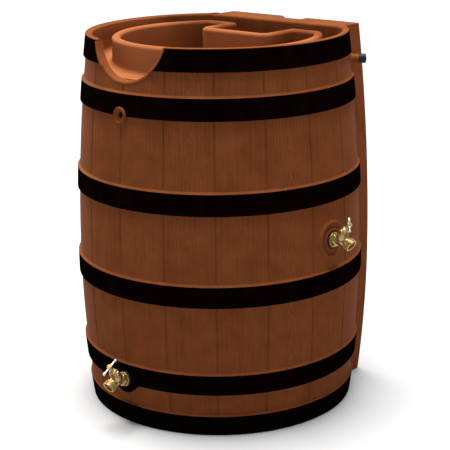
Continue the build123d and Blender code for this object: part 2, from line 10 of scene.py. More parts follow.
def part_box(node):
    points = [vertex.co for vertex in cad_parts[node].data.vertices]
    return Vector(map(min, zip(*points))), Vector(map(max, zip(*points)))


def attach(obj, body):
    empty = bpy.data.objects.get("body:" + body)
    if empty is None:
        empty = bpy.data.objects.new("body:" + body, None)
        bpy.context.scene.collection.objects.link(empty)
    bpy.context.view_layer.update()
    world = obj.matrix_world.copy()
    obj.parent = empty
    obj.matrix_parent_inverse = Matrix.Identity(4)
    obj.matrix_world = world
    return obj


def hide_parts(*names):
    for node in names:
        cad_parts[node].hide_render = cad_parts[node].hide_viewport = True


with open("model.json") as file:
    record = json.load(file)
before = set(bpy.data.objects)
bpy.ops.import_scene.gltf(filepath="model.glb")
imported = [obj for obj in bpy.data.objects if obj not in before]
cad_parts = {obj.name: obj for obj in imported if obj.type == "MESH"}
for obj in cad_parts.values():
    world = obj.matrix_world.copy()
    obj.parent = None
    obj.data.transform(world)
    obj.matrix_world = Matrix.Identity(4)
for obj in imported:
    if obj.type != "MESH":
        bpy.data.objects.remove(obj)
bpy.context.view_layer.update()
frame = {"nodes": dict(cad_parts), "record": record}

# ---- Driving sizes, metres -------------------------------------------------------------------
# The barrel's profile is two arcs that meet upright at the belly; -Y is the front.
SHELL_LOW, SHELL_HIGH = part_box("barrel_shell")
HEIGHT = SHELL_HIGH.z
BACK_Y = SHELL_HIGH.y
BELLY_R = 0.312
BELLY_Z = 0.309
TOP_R = 0.2787
BASE_R = 0.2908
RIM_CAP = 0.002
HOOP_TOP_Z = HEIGHT - RIM_CAP
SLAB_INSET = 0.0966
SLAB_TOP_Z = HEIGHT - 0.0025
SLAB_ROUND = 0.007
RELIEF = 0.005            # hoop face to stave face
FACING = 0.0012
LEDGE = 0.0045            # height of the slope over each hoop
STAVE_PITCH = math.radians(20)
GROOVE_DEPTH = 0.0023
GROOVE_HALF = 0.0031
RIM_INNER_R = 0.2641
RIM_BACK_Y = 0.200
RIM_CORNER = 0.038
RIM_ROUND = 0.0055
RING_R = 0.2234
RING_THICK = 0.0193
RING_BACK_Y = 0.1583
RING_CORNER = 0.025
RING_TOP_Z = HEIGHT - 0.0095
RING_ROUND = 0.0075
BITE_HALF = 0.0771
BITE_FRONT_Y = 0.0628
BITE_CORNER = 0.0085
FLOOR_Z = HEIGHT - 0.054
FRONT_FLOOR_Z = FLOOR_Z - 0.019
FLOOR_BREAK_Y = -0.020
FOOT_ROUND = 0.008        # fillet where the trough's walls meet its floor
PLANTER_Z = RING_TOP_Z - 0.140
PLANTER_ROUND = 0.012
NOTCH_R = 0.093
NOTCH_Z = HEIGHT - 0.073 + NOTCH_R
NOTCH_LIP = 0.0035
WALL = 0.005
INLET_R = 0.0475
INLET_Y = (BITE_FRONT_Y + RIM_BACK_Y) / 2
HOOPS = ["base_hoop_facing", "spigot_hoop_facing", "belly_hoop_facing", "shoulder_hoop_facing",
         "overflow_hoop_facing", "rim_hoop_facing_right"]
HOOP_HEIGHT = 0.044
HOOP_TOPS = [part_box(name)[1].z for name in HOOPS]
LOWER_SPIGOT_Z = 0.105
SIDE_SPIGOT_Z = 0.397
PAD_PROUD = 0.003
OVERFLOW_Z = 0.665
PORT_ANGLE = math.radians(135)
PORT_Z = 0.734

UPPER_ARC = ((HOOP_TOP_Z - BELLY_Z) ** 2 + (BELLY_R - TOP_R) ** 2) / (2 * (BELLY_R - TOP_R))
LOWER_ARC = (BELLY_Z ** 2 + (BELLY_R - BASE_R) ** 2) / (2 * (BELLY_R - BASE_R))


def hoop_radius(z):
    arc = UPPER_ARC if z > BELLY_Z else LOWER_ARC
    return BELLY_R - arc + math.sqrt(arc * arc - (z - BELLY_Z) ** 2)


def floor_height(y):
    """The trough's floor: level behind, falling to the spill notch in front."""
    fall = (FLOOR_BREAK_Y - y) / (TOP_R + FLOOR_BREAK_Y)
    return FLOOR_Z - (FLOOR_Z - FRONT_FLOOR_Z) * min(1.0, max(0.0, fall))


# ---- Mesh helpers ----------------------------------------------------------------------------
def new_object(name, verts, faces, smooth_angle=35.0):
    mesh = bpy.data.meshes.new(name)
    mesh.from_pydata([tuple(v) for v in verts], [], faces)
    mesh.validate()
    obj = bpy.data.objects.new(name, mesh)
    bpy.context.scene.collection.objects.link(obj)
    tidy_normals(obj, smooth_angle)
    return obj


def tidy_normals(obj, smooth_angle):
    work = bmesh.new()
    work.from_mesh(obj.data)
    bmesh.ops.recalc_face_normals(work, faces=work.faces)
    work.to_mesh(obj.data)
    work.free()
    obj.data.polygons.foreach_set("use_smooth", [True] * len(obj.data.polygons))
    obj.data.set_sharp_from_angle(angle=math.radians(smooth_angle))


def apply_modifiers(obj):
    depsgraph = bpy.context.evaluated_depsgraph_get()
    mesh = bpy.data.meshes.new_from_object(obj.evaluated_get(depsgraph))
    obj.modifiers.clear()
    old, obj.data = obj.data, mesh
    bpy.data.meshes.remove(old)


def boolean(obj, other, operation="DIFFERENCE"):
    modifier = obj.modifiers.new("cut", "BOOLEAN")
    modifier.operation = operation
    modifier.solver = "EXACT"
    modifier.object = other
    apply_modifiers(obj)
    bpy.data.objects.remove(other)


def join(target, others):
    """Adds the other objects' meshes to the target's, as islands of their own."""
    work = bmesh.new()
    work.from_mesh(target.data)
    for other in others:
        mesh = other.data.copy()
        mesh.transform(other.matrix_world)
        work.from_mesh(mesh)
        bpy.data.meshes.remove(mesh)
        bpy.data.objects.remove(other)
    work.to_mesh(target.data)
    work.free()
    return target


def loft(name, loops, cap_start=True, cap_end=True, smooth_angle=35.0):
    """Closed loops of equal length, skinned in order."""
    count = len(loops[0])
    verts = [p for ring in loops for p in ring]
    faces = []
    for row in range(len(loops) - 1):
        for k in range(count):
            a, b = row * count + k, row * count + (k + 1) % count
            faces.append((a, b, b + count, a + count))
    if cap_start:
        faces.append(tuple(range(count - 1, -1, -1)))
    if cap_end:
        faces.append(tuple(range((len(loops) - 1) * count, len(loops) * count)))
    return new_object(name, verts, faces, smooth_angle)


def lathe(name, profile, steps=48, matrix=None, closed=False, smooth_angle=35.0):
    """Profile of (radius, height) turned about Z; a radius of 0 closes an end in a point."""
    verts, faces, rings = [], [], []
    for radius, height in profile:
        if radius < 1e-7:
            rings.append([len(verts)] * steps)
            verts.append(Vector((0, 0, height)))
            continue
        rings.append(list(range(len(verts), len(verts) + steps)))
        for k in range(steps):
            turn = 2 * math.pi * k / steps
            verts.append(Vector((radius * math.cos(turn), radius * math.sin(turn), height)))
    pairs = list(zip(rings, rings[1:])) + ([(rings[-1], rings[0])] if closed else [])
    for low, high in pairs:
        for k in range(steps):
            n = (k + 1) % steps
            corners = [low[k], low[n], high[n], high[k]]
            faces.append(tuple(dict.fromkeys(corners)))
    if matrix is not None:
        verts = [matrix @ v for v in verts]
    return new_object(name, verts, [f for f in faces if len(f) > 2], smooth_angle)


def cutter_rod(radius, start, end, steps=64):
    """A plain closed cylinder between two points, for cuts."""
    start, end = Vector(start), Vector(end)
    turn = (end - start).to_track_quat("Z", "Y").to_matrix().to_4x4()
    profile = [(0, 0), (radius, 0), (radius, (end - start).length), (0, (end - start).length)]
    return lathe("cutter", profile, steps, Matrix.Translation(start) @ turn)


# ---- Outlines of the barrel --------------------------------------------------------------------
SIDE_STEPS = 4
CORNER_STEPS = 5
BACK_STEPS = 24


def azimuths():
    """Azimuths of the round part's columns, close together at the seams between staves."""
    seam = [-0.9, -0.62, -0.40, -0.22, 0.0, 0.22, 0.40, 0.62, 0.9]
    found = []
    for k in range(-6, 7):
        centre = math.degrees(STAVE_PITCH) * k
        found += [centre + s for s in seam]
        if k < 6:
            found += [centre + 2.5 * i for i in range(1, 8)]
    found = [-127.5, -124.5, -122.5] + found + [122.5, 124.5, 127.5]
    return [math.radians(a) for a in found]


AZIMUTHS = azimuths()


def groove(az):
    """Depth of the seam groove at an azimuth, 0 to 1."""
    off = abs((az / STAVE_PITCH) - round(az / STAVE_PITCH)) * STAVE_PITCH * BELLY_R
    return math.cos(math.pi / 2 * off / GROOVE_HALF) ** 1.5 if off < GROOVE_HALF else 0.0


def outer_outline(z, move, depth, slab_move=0.0):
    """The barrel's outline at a height: front round, sides and flat back, counter-clockwise from the left."""
    radius = hoop_radius(z) + move
    half = hoop_radius(z) - SLAB_INSET + slab_move
    back_y = BACK_Y + slab_move
    points = []
    for az in AZIMUTHS:
        r = radius - depth * groove(az)
        points.append(Vector((r * math.sin(az), -r * math.cos(az), z)))
    start_y = math.sqrt(radius * radius - half * half)
    side = [Vector((half, start_y + (back_y - SLAB_ROUND - start_y) * k / SIDE_STEPS, z))
            for k in range(SIDE_STEPS + 1)]
    centre = Vector((half - SLAB_ROUND, back_y - SLAB_ROUND, z))
    corner = [centre + SLAB_ROUND * Vector((math.cos(a), math.sin(a), 0))
              for a in [math.pi / 2 * k / CORNER_STEPS for k in range(1, CORNER_STEPS + 1)]]
    wide = half - SLAB_ROUND
    back = [Vector((wide - 2 * wide * k / BACK_STEPS, back_y, z)) for k in range(1, BACK_STEPS)]
    mirrored = [Vector((-p.x, p.y, z)) for p in reversed(side + corner)]
    return points + side + corner + back + mirrored


def rim_outline(inset):
    """The opening's outline, column for column with outer_outline, as (x, y)."""
    radius, corner = RIM_INNER_R - inset, RIM_CORNER - inset
    line = RIM_BACK_Y - inset
    centre_y = RIM_BACK_Y - RIM_CORNER
    centre_x = math.sqrt((RIM_INNER_R - RIM_CORNER) ** 2 - centre_y ** 2)
    start = math.atan2(centre_y, centre_x)
    points = [(radius * math.sin(az), -radius * math.cos(az)) for az in AZIMUTHS]
    steps = SIDE_STEPS + CORNER_STEPS
    arc = []
    for k in range(steps + 1):
        turn = start + (math.pi / 2 - start) * k / steps
        arc.append((centre_x + corner * math.cos(turn), centre_y + corner * math.sin(turn)))
    back = [(centre_x - 2 * centre_x * k / BACK_STEPS, line) for k in range(1, BACK_STEPS)]
    return points + arc + back + [(-x, y) for x, y in reversed(arc)]


def fillet_corner(before, corner, after, radius, steps):
    """Points of a round of a polygon's corner, from the side of before to that of after."""
    a, b = (before - corner).normalized(), (after - corner).normalized()
    half = a.angle(b) / 2
    reach = radius / math.tan(half)
    centre = corner + (a + b).normalized() * radius / math.sin(half)
    first, last = corner + a * reach - centre, corner + b * reach - centre
    total = first.angle_signed(last) * -1
    return [centre + Matrix.Rotation(total * k / steps, 2) @ first for k in range(steps + 1)]


def ring_outline(grow):
    """The planter ring's outer outline moved out by grow, with the inlet bite at the back."""
    radius, corner = RING_R + grow, max(RING_CORNER + grow, 0.004)
    line = RING_BACK_Y + grow
    centre_x = math.sqrt((radius - corner) ** 2 - (line - corner) ** 2)
    start = math.atan2(line - corner, centre_x)
    count = 72
    limit = math.pi / 2 + start
    points = []
    for k in range(count + 1):
        az = -limit + 2 * limit * k / count
        points.append(Vector((radius * math.sin(az), -radius * math.cos(az))))
    half_side = []
    for k in range(1, 9):
        turn = start + (math.pi / 2 - start) * k / 8
        across, along = corner * math.cos(turn), corner * math.sin(turn)
        half_side.append(Vector((centre_x + across, line - corner + along)))
    inner_x, front_y = BITE_HALF - grow, BITE_FRONT_Y + grow
    mouth, deep = Vector((inner_x, line)), Vector((inner_x, front_y))
    start_line = half_side[-1]
    half_side += fillet_corner(start_line, mouth, deep, max(BITE_CORNER + grow, 0.003), 6)
    half_side += fillet_corner(mouth, deep, Vector((-inner_x, front_y)), max(BITE_CORNER - grow, 0.0006), 8)
    return points + half_side + [Vector((-p.x, p.y)) for p in reversed(half_side)]


# ---- The shell ---------------------------------------------------------------------------------
def shell_rows():
    """(height, move, groove depth) of the outer wall, from the floor to the rim."""
    rows = [(0.0, -FACING - 0.0030, 0), (0.0012, -FACING - 0.0010, 0), (0.003, -FACING, 0)]
    for index, top in enumerate(HOOP_TOPS):
        bottom = top - HOOP_HEIGHT
        if index:
            rows += [(bottom - 0.0008, -RELIEF, GROOVE_DEPTH),
                     (bottom - 0.0001, -RELIEF + 0.0006, GROOVE_DEPTH / 2)]
            rows += [(bottom, -RELIEF + 0.0012, 0), (bottom, -FACING, 0)]
        rows += [(bottom + HOOP_HEIGHT * k / 4, -FACING, 0) for k in (1, 2, 3)]
        rows += [(top, -FACING, 0), (top, -0.0004, 0)]
        if index == len(HOOP_TOPS) - 1:
            break
        rows += [(top + 0.0004, 0.0, 0), (top + 0.0010, -0.0004, 0)]
        rows += [(top + LEDGE * 0.55, -RELIEF * 0.55, 0),
                 (top + LEDGE * 0.85, -RELIEF * 0.88, GROOVE_DEPTH * 0.4),
                 (top + LEDGE, -RELIEF * 0.98, GROOVE_DEPTH * 0.8),
                 (top + LEDGE + 0.0012, -RELIEF, GROOVE_DEPTH)]
        low, high = top + LEDGE + 0.0012, HOOP_TOPS[index + 1] - HOOP_HEIGHT - 0.0008
        steps = max(3, round((high - low) / 0.012))
        rows += [(low + (high - low) * k / steps, -RELIEF, GROOVE_DEPTH) for k in range(1, steps)]
    return rows


def rim_height(k):
    """Top of the rim over column k: the round part stands a little over the flat back."""
    first, last = len(AZIMUTHS), len(AZIMUTHS) + 2 * (SIDE_STEPS + CORNER_STEPS + 1) + BACK_STEPS - 1
    return SLAB_TOP_Z if first < k < last - 1 else HEIGHT


def rim_loops():
    """Loops from the wall's top edge over the rim and down to the trough's floor."""
    edge = outer_outline(HOOP_TOP_Z, 0.0, 0)
    inner = [Vector((x, y)) for x, y in rim_outline(0)]
    loops = []
    for share in (0.3, 0.6, 0.85, 1.0):
        turn = math.pi / 2 * share
        loop = []
        for k, point in enumerate(edge):
            top, away = rim_height(k), (inner[k] - point.to_2d()).normalized()
            flat = point.to_2d() + away * RIM_CAP * 1.6 * (1 - math.cos(turn))
            base = min(HOOP_TOP_Z, top - RIM_CAP)
            loop.append(Vector((*flat, base + (top - base) * math.sin(turn))))
        loops.append(loop)
    for step in range(6):
        turn = math.pi / 2 * step / 5
        outline = rim_outline(-RIM_ROUND * (1 - math.sin(turn)))
        loops.append([Vector((x, y, rim_height(k) - RIM_ROUND * (1 - math.cos(turn))))
                      for k, (x, y) in enumerate(outline)])
    loops.append([Vector((x, y, (FLOOR_Z + HEIGHT) / 2)) for x, y in rim_outline(0)])
    for step in range(6):
        turn = math.pi / 2 * step / 5
        outline = rim_outline(FOOT_ROUND * (1 - math.cos(turn)))
        lift = FOOT_ROUND * (1 - math.sin(turn))
        loops.append([Vector((x, y, floor_height(y) + lift)) for x, y in outline])
    return loops


def ring_loops():
    """Loops from the planter ring's foot over its top and down to the planter's floor."""
    rows = []
    for step in range(5, -1, -1):
        turn = math.pi / 2 * step / 5
        rows.append((FOOT_ROUND * (1 - math.cos(turn)), None, FOOT_ROUND * (1 - math.sin(turn))))
    for step in range(6):
        turn = math.pi / 2 * step / 5
        rows.append((-RING_ROUND * (1 - math.cos(turn)), RING_TOP_Z - RING_ROUND * (1 - math.sin(turn)), 0))
    for step in range(5, -1, -1):
        turn = math.pi / 2 * step / 5
        level = RING_TOP_Z - RING_ROUND * (1 - math.sin(turn))
        rows.append((-RING_THICK + RING_ROUND * (1 - math.cos(turn)), level, 0))
    rows.append((-RING_THICK, (RING_TOP_Z + PLANTER_Z) / 2, 0))
    for step in range(5):
        turn = math.pi / 2 * step / 5
        level = PLANTER_Z + PLANTER_ROUND * (1 - math.sin(turn))
        rows.append((-RING_THICK - PLANTER_ROUND * (1 - math.cos(turn)), level, 0))
    loops = []
    for grow, z, lift in rows:
        outline = ring_outline(grow)
        loops.append([Vector((p.x, p.y, floor_height(p.y) + lift if z is None else z)) for p in outline])
    return loops


def quads(faces, low, high, count):
    for k in range(count):
        n = (k + 1) % count
        faces.append((low + k, low + n, high + n, high + k))


def inside(point, loop):
    """Whether a 2D point is inside a closed loop."""
    hits = False
    for a, b in zip(loop, loop[1:] + loop[:1]):
        if (a.y > point.y) != (b.y > point.y):
            hits ^= point.x < (b.x - a.x) * (point.y - a.y) / (b.y - a.y) + a.x
    return hits


def trough_faces(outer, inner):
    """Triangles between two loops, as indices into outer followed by inner."""
    points = [p.to_2d() for p in outer + inner]
    n, m = len(outer), len(inner)
    edges = [(k, (k + 1) % n) for k in range(n)] + [(n + k, n + (k + 1) % m) for k in range(m)]
    made = delaunay_2d_cdt(points, edges, [], 1, 1e-7)
    verts, faces, origin = made[0], made[2], made[3]
    kept = []
    hole = [p.to_2d() for p in inner]
    for face in faces:
        middle = sum((verts[i] for i in face), Vector((0, 0))) / len(face)
        if not inside(middle, hole):
            kept.append(tuple(origin[i][0] for i in face))
    return kept


def build_body():
    """One closed skin: floor, outer wall, rim, trough, planter ring and planter."""
    wall = [outer_outline(z, move, depth) for z, move, depth in shell_rows()]
    loops = wall + rim_loops()
    count = len(loops[0])
    verts = [p for ring in loops for p in ring]
    faces = [tuple(range(count - 1, -1, -1))]
    for row in range(len(loops) - 1):
        quads(faces, row * count, (row + 1) * count, count)
    ring = ring_loops()
    base, width = len(verts), len(ring[0])
    verts += [p for loop in ring for p in loop]
    for row in range(len(ring) - 1):
        quads(faces, base + row * width, base + (row + 1) * width, width)
    faces.append(tuple(range(len(verts) - width, len(verts))))
    last = base - count
    for face in trough_faces(loops[-1], ring[0]):
        faces.append(tuple(last + i if i < count else base + i - count for i in face))
    return new_object("barrel_shell_skin", verts, faces)


def cut_notch(body):
    """The spill notch through the rim, down to the trough's floor and no lower."""
    radius = NOTCH_R + 0.0015
    limit = NOTCH_Z - floor_height(-RIM_INNER_R) - 0.0011
    for far, near, low in ((-0.40, -0.2636, radius), (-0.30, -0.2420, limit)):
        edge = []
        start = math.acos(min(1.0, low / radius))
        steps = 72
        for k in range(steps + 1):
            turn = -math.pi + start + (2 * math.pi - 2 * start) * k / steps
            edge.append((radius * math.sin(turn), radius * math.cos(turn) + NOTCH_Z))
        if low == radius:
            edge.pop()
        loops = [[Vector((x, y, z)) for x, z in edge] for y in (far, near)]
        boolean(body, loft("cutter", loops))


def notch_lip():
    """The rounded edge of the spill notch, swept round the cut."""
    limit = math.acos((NOTCH_Z - HEIGHT + 0.0022) / NOTCH_R)
    steps, round_r, sunk = 72, 0.0042, 0.0060
    loops = []
    for k in range(steps + 1):
        turn = -limit + 2 * limit * k / steps
        spread = Vector((math.sin(turn), 0, -math.cos(turn)))
        at = Vector((0, 0, NOTCH_Z)) + spread * NOTCH_R
        face = hoop_radius(at.z)
        below = min(1.0, max(0.0, (HOOP_TOPS[-1] - HOOP_HEIGHT - at.z) / 0.006))
        face -= (RELIEF - 0.0010) * below
        out_y = -math.sqrt((face + 0.0003) ** 2 - at.x ** 2)
        in_y = -math.sqrt((RIM_INNER_R - 0.0003) ** 2 - at.x ** 2)
        in_round = min(round_r, max(0.0002, at.z - floor_height(in_y)))
        section = []
        for sign, y, radius in ((1, out_y, round_r), (-1, in_y, in_round)):
            arc = []
            for i in range(6):
                a = math.pi / 2 * i / 5
                arc.append((y + sign * radius * (1 - math.cos(a)), radius * (1 - math.sin(a))))
            arc = [(y, sunk)] + arc
            section += arc if sign == 1 else arc[::-1]
        loops.append([Vector((0, y, 0)) + at + spread * h for y, h in section])
    return loft("notch_lip", loops, smooth_angle=60)


def inner_cavity():
    """The water space inside the shell, for the view through the inlet."""
    rows = [WALL + (FRONT_FLOOR_Z - 2 * WALL) * k / 24 for k in range(25)]
    cavity = loft("cavity", [outer_outline(z, -RELIEF - WALL, 0, -WALL) for z in rows])
    bowl = [[Vector((p.x, p.y, z)) for p in ring_outline(-RING_THICK + WALL)]
            for z in (PLANTER_Z - WALL, HEIGHT)]
    boolean(cavity, loft("bowl", bowl))
    return cavity


def bump_profile(rho, rings):
    """Height of a set of round-topped rings at a distance from their centre."""
    best = 0.0
    for radius, half, height in rings:
        off = abs(rho - radius) / half
        if off < 1:
            best = max(best, height * (1 + math.cos(math.pi * off)) / 2)
    return best


def side_dish():
    """Moulded rings round the side spigot, following the barrel's curve, on a level pad."""
    pad_x = hoop_radius(SIDE_SPIGOT_Z) - RELIEF + PAD_PROUD
    rings = [(0.0362, 0.0062, 0.0048), (0.0212, 0.0042, 0.0052)]
    radii = [0.0, 0.010, 0.0168, 0.0175] + [0.018 + 0.0007 * k for k in range(36)]
    verts, faces, steps = [], [], 96
    for rho in radii:
        for k in range(steps):
            turn = 2 * math.pi * k / steps
            y, z = rho * math.cos(turn), SIDE_SPIGOT_Z + rho * math.sin(turn)
            surface = math.sqrt((hoop_radius(z) - RELIEF) ** 2 - y * y)
            sink = 0.0014 if rho > 0.0424 else 0.0
            level = max(0.0, min(1.0, (0.0215 - rho) / 0.004))
            x = surface + bump_profile(rho, rings) + 0.0004 - sink
            if rho < 0.0178:
                x = pad_x
            elif level > 0:
                x = x * (1 - level) + max(x, pad_x) * level
            verts.append((x, y, z))
    for row in range(len(radii) - 1):
        quads(faces, row * steps, (row + 1) * steps, steps)
    back = len(verts)
    for k in range(steps):
        x, y, z = verts[back - steps + k]
        verts.append((x - 0.004, y, z))
    quads(faces, back - steps, back, steps)
    faces.append(tuple(range(back, back + steps)))
    work = new_object("side_dish", verts, faces, 50)
    return work


def front_matrix(radius, z, az=0.0):
    """Frame with its Z axis pointing straight out of the barrel at an azimuth."""
    out = Vector((math.sin(az), -math.cos(az), 0))
    turn = out.to_track_quat("Z", "Y").to_matrix().to_4x4()
    return Matrix.Translation(out * radius + Vector((0, 0, z))) @ turn


def overflow_ring():
    """Raised round collar of the overflow hole, its mouth belled."""
    face = hoop_radius(OVERFLOW_Z) + 0.0025
    profile = [(0.0065, -0.0100), (0.0065, -0.0042), (0.0071, -0.0034), (0.0084, -0.0031), (0.0128, -0.0030),
               (0.0138, -0.0026), (0.0143, -0.0010), (0.0150, 0.0), (0.0158, -0.0002), (0.0164, -0.0014),
               (0.0165, -0.0030), (0.0165, -0.0100)]
    return lathe("overflow_ring", profile, 56, front_matrix(face, OVERFLOW_Z), closed=True, smooth_angle=60)


def port_stub():
    """The capped outlet's moulded stub: a flared root, a barrel and the narrower nose."""
    face = hoop_radius(PORT_Z) - RELIEF
    profile = [(0.0050, -0.0040), (0.0158, -0.0040), (0.0140, 0.0010), (0.0112, 0.0030), (0.0102, 0.0060),
               (0.0099, 0.0185), (0.0096, 0.0203), (0.0089, 0.0210), (0.0084, 0.0212), (0.0084, 0.0335),
               (0.0078, 0.0343), (0.0050, 0.0343)]
    place = front_matrix(face, PORT_Z, PORT_ANGLE)
    return lathe("port_stub", profile, 48, place, closed=True, smooth_angle=50)


def spigot_pads():
    """Solid bosses behind the two spigots, and the lower spigot's seat."""
    lower = hoop_radius(LOWER_SPIGOT_Z) + PAD_PROUD - 0.006
    pads = [lathe("pad", [(0.0136, 0), (0.0306, 0), (0.0306, -0.0095), (0.0136, -0.0095)], 64,
                  front_matrix(lower, LOWER_SPIGOT_Z), closed=True)]
    side = hoop_radius(SIDE_SPIGOT_Z) - RELIEF + PAD_PROUD
    pads.append(lathe("pad", [(0.0136, -0.002), (0.0225, -0.002), (0.0225, -0.0155), (0.0136, -0.0155)], 64,
                      front_matrix(side, SIDE_SPIGOT_Z, math.pi / 2), closed=True))
    return pads


def build_shell():
    body = build_body()
    boolean(body, inner_cavity())
    cut_notch(body)
    scoop_r, scoop_deep = 0.065, 0.009
    middle = SLAB_TOP_Z + scoop_r - scoop_deep
    boolean(body, cutter_rod(scoop_r, (0, BACK_Y - 0.021, middle), (0, BACK_Y + 0.02, middle), 160))
    boolean(body, cutter_rod(INLET_R, (0, INLET_Y, FLOOR_Z - 0.03), (0, INLET_Y, FLOOR_Z + 0.02), 96))
    boolean(body, cutter_rod(0.0150, (0, -0.33, OVERFLOW_Z), (0, -0.20, OVERFLOW_Z)))
    boolean(body, cutter_rod(0.0305, (0, -0.40, LOWER_SPIGOT_Z), (0, -0.25, LOWER_SPIGOT_Z)))
    boolean(body, cutter_rod(0.0136, (0.40, 0, SIDE_SPIGOT_Z), (0.25, 0, SIDE_SPIGOT_Z)))
    parts = [notch_lip(), side_dish_with_hole(), overflow_ring(), port_stub(), *spigot_pads()]
    join(body, parts)
    tidy_edges(body, 38)
    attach(body, "barrel")
    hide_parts("barrel_shell", "trough_floor", "planter_bowl")
    return body


def side_dish_with_hole():
    dish = side_dish()
    boolean(dish, cutter_rod(0.0136, (0.40, 0, SIDE_SPIGOT_Z), (0.25, 0, SIDE_SPIGOT_Z)))
    return dish


def tidy_edges(obj, angle):
    obj.data.polygons.foreach_set("use_smooth", [True] * len(obj.data.polygons))
    obj.data.set_sharp_from_angle(angle=math.radians(angle))


# ---- Spigots, in their own frame: origin on the pad's face, outwards -Y, up +Z -------------------
GLOBE = Vector((0, -0.024, 0.009))
STEM_TILT = math.radians(32)
OUTLET_FALL = math.radians(30)
STEM = Matrix.Translation(GLOBE) @ Matrix.Rotation(STEM_TILT, 4, "X")
OUTLET = Matrix.Translation(GLOBE) @ Matrix.Rotation(math.pi / 2 + OUTLET_FALL, 4, "X")
INLET = Matrix.Rotation(math.pi / 2, 4, "X")
LOWER_PLACE = Matrix.Translation((0, -(hoop_radius(LOWER_SPIGOT_Z) + PAD_PROUD), LOWER_SPIGOT_Z))
SIDE_PLACE = (Matrix.Translation((hoop_radius(SIDE_SPIGOT_Z) - RELIEF + PAD_PROUD, 0, SIDE_SPIGOT_Z))
              @ Matrix.Rotation(math.pi / 2, 4, "Z"))


def round_profile(points, steps=4):
    """A lathe profile from (radius, height, round) corners, each round an arc of that size."""
    out = []
    for i, (radius, height, size) in enumerate(points):
        here = Vector((radius, height))
        if not size:
            out.append((radius, height))
            continue
        before = (Vector(points[i - 1][:2]) - here).normalized() * size
        after = (Vector(points[(i + 1) % len(points)][:2]) - here).normalized() * size
        for k in range(steps + 1):
            t = k / steps
            p = here + before * (1 - t) ** 2 + after * t ** 2
            out.append((p.x, p.y))
    return out


CORNER_WEAR = 0.00012      # how far a hexagon's corners are rubbed down


def prism(name, flats, low, high, chamfer, matrix, bore=0.0, sides=6, twist=0.0):
    """A hexagon with turned corners: its two ends are cut to a cone, as a nut's are."""
    inner_r = flats / 2
    corner_r = inner_r / math.cos(math.pi / sides)
    steps = sides * 8
    loops = []
    part_way = inner_r + (corner_r - inner_r) * 0.55
    levels = [(low, inner_r), (low + chamfer / 2, part_way), (low + chamfer, corner_r),
              (high - chamfer, corner_r), (high - chamfer / 2, part_way), (high, inner_r)]
    for z, limit in levels:
        loop = []
        for k in range(steps):
            turn = 2 * math.pi * k / steps + twist
            local = (turn - twist + math.pi / sides) % (2 * math.pi / sides) - math.pi / sides
            worn = CORNER_WEAR if abs(local) > math.pi / sides * 0.93 else 0
            r = min(inner_r / math.cos(local), limit) - worn
            loop.append(Vector((r * math.cos(turn), r * math.sin(turn), z)))
        loops.append(loop)
    if bore:
        turns = [2 * math.pi * k / steps + twist for k in range(steps)]
        for z in (high, low):
            loops.append([Vector((bore * math.cos(turn), bore * math.sin(turn), z)) for turn in turns])
        verts = [matrix @ p for loop in loops for p in loop]
        return new_object(name, verts, closed_quads(len(loops), steps), 28)
    return loft(name, [[matrix @ p for p in loop] for loop in loops], smooth_angle=28)


def closed_quads(rows, steps):
    """Faces of a tube whose last loop joins its first."""
    faces = []
    for row in range(rows):
        nxt = (row + 1) % rows
        for k in range(steps):
            n = (k + 1) % steps
            faces.append((row * steps + k, row * steps + n, nxt * steps + n, nxt * steps + k))
    return faces


def threaded(name, crest, root, low, high, pitch, ends, matrix, steps=56):
    """An outside thread between two levels; ends is the rest of its closed profile, high to low."""
    rows = max(2, round((high - low) / pitch * 8))
    loops = []
    for row in range(rows + 1):
        z = low + (high - low) * row / rows
        fade = min(1.0, min(z - low, high - z) / (pitch * 0.5))
        loop = []
        for k in range(steps):
            phase = (z / pitch - k / steps) % 1.0
            wave = min(1.0, max(0.0, 1.35 - abs(phase - 0.5) * 4)) * fade
            r = root + (crest - root) * wave
            turn = 2 * math.pi * k / steps
            loop.append(Vector((r * math.cos(turn), r * math.sin(turn), z)))
        loops.append(loop)
    for radius, z in ends:
        turns = [2 * math.pi * k / steps for k in range(steps)]
        loops.append([Vector((radius * math.cos(turn), radius * math.sin(turn), z)) for turn in turns])
    verts = [matrix @ p for loop in loops for p in loop]
    return new_object(name, verts, closed_quads(len(loops), steps), 40)


def ball_profile(radius, steps):
    angles = [math.pi * (k / steps - 0.5) for k in range(steps + 1)]
    return [(radius * math.cos(a), radius * math.sin(a)) for a in angles]


def casting(name):
    """The cast body: inlet, globe, neck and outlet, which run into one another with soft fillets."""
    pipe = [(0, 0.0105), (0.0090, 0.0105), (0.0087, 0.0150), (0.0090, 0.0240), (0, 0.0240)]
    inlet = lathe("inlet", pipe, 40, INLET)
    knee = lathe("knee", ball_profile(0.0090, 10), 32, Matrix.Translation((0, -0.024, 0)))
    globe = lathe("globe", ball_profile(0.0122, 14), 40, Matrix.Translation(GLOBE))
    throat = [(0, 0), (0.0096, 0), (0.0094, 0.0095), (0.0100, 0.0105), (0.0100, 0.0128), (0, 0.0128)]
    neck = lathe("neck", throat, 40, STEM)
    spout = lathe("spout", [(0, 0), (0.0092, 0), (0.0086, 0.0110), (0.0092, 0.0165), (0, 0.0165)], 40, OUTLET)
    join(globe, [inlet, knee, neck, spout])
    globe.name = name
    remesh = globe.modifiers.new("skin", "REMESH")
    remesh.mode, remesh.voxel_size = "VOXEL", 0.00062
    smooth = globe.modifiers.new("soft", "SMOOTH")
    smooth.factor, smooth.iterations = 0.5, 7
    apply_modifiers(globe)
    tidy_normals(globe, 60)
    return globe


